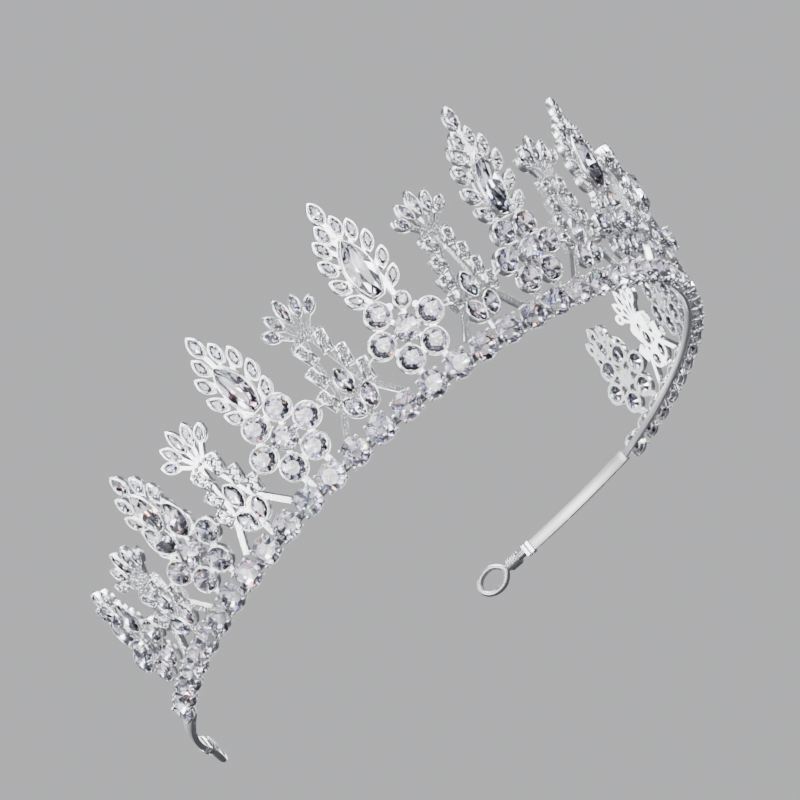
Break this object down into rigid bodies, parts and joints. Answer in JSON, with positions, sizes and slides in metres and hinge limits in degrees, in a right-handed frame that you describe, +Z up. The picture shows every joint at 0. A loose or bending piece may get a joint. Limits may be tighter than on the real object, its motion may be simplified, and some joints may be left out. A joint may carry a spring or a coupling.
{
  "type": "bridal tiara",
  "caption": "Horseshoe tiara: a row of claw-set round stones carries alternating leaf-and-flower sprays and stepped fans, with plain arms that end in wire eyes.",
  "frame": {"origin": "on the plane that the cups of the row stand on, midway between the two sides and midway between the front tip and the end eyes", "axes": "+X to the right as seen from the front, -Y to the front of the tiara, +Z up along the height of the ornaments"},
  "size_m": [0.1574, 0.1564, 0.045],
  "materials": {
    "cast_metal": "bright silver plate over cast alloy, with a fine cast grain",
    "plain_band_metal": "polished silver plate",
    "row_crystal": "clear faceted glass with a foil back",
    "ornament_crystal": "clear faceted glass with a foil back"
  },
  "bodies": {
    "root": {"band_rail": "plain_band_metal", "row_settings_left": "cast_metal", "row_settings_right": "cast_metal", "row_stones_left": "row_crystal", "row_stones_right": "row_crystal", "leaf_frame_mid": "cast_metal", "leaf_frame_l1": "cast_metal", "leaf_frame_l2": "cast_metal", "leaf_frame_l3": "cast_metal", "leaf_frame_l4": "cast_metal", "leaf_frame_r1": "cast_metal", "leaf_frame_r2": "cast_metal", "leaf_frame_r3": "cast_metal", "leaf_frame_r4": "cast_metal", "leaf_stones_mid": "ornament_crystal", "leaf_stones_l1": "ornament_crystal", "leaf_stones_l2": "ornament_crystal", "leaf_stones_l3": "ornament_crystal", "leaf_stones_l4": "ornament_crystal", "leaf_stones_r1": "ornament_crystal", "leaf_stones_r2": "ornament_crystal", "leaf_stones_r3": "ornament_crystal", "leaf_stones_r4": "ornament_crystal", "fan_frame_l1": "cast_metal", "fan_frame_l2": "cast_metal", "fan_frame_l3": "cast_metal", "fan_frame_l4": "cast_metal", "fan_frame_r1": "cast_metal", "fan_frame_r2": "cast_metal", "fan_frame_r3": "cast_metal", "fan_frame_r4": "cast_metal", "fan_stones_l1": "ornament_crystal", "fan_stones_l2": "ornament_crystal", "fan_stones_l3": "ornament_crystal", "fan_stones_l4": "ornament_crystal", "fan_stones_r1": "ornament_crystal", "fan_stones_r2": "ornament_crystal", "fan_stones_r3": "ornament_crystal", "fan_stones_r4": "ornament_crystal", "flower_claw_cups": "cast_metal", "flower_centre_stones": "ornament_crystal", "navette_stones": "ornament_crystal", "left_arm": "plain_band_metal", "right_arm": "plain_band_metal", "left_ferrule": "cast_metal", "right_ferrule": "cast_metal", "left_eye_binding": "cast_metal", "right_eye_binding": "cast_metal", "left_end_eye": "cast_metal", "right_end_eye": "cast_metal"}
  },
  "joints": []
}
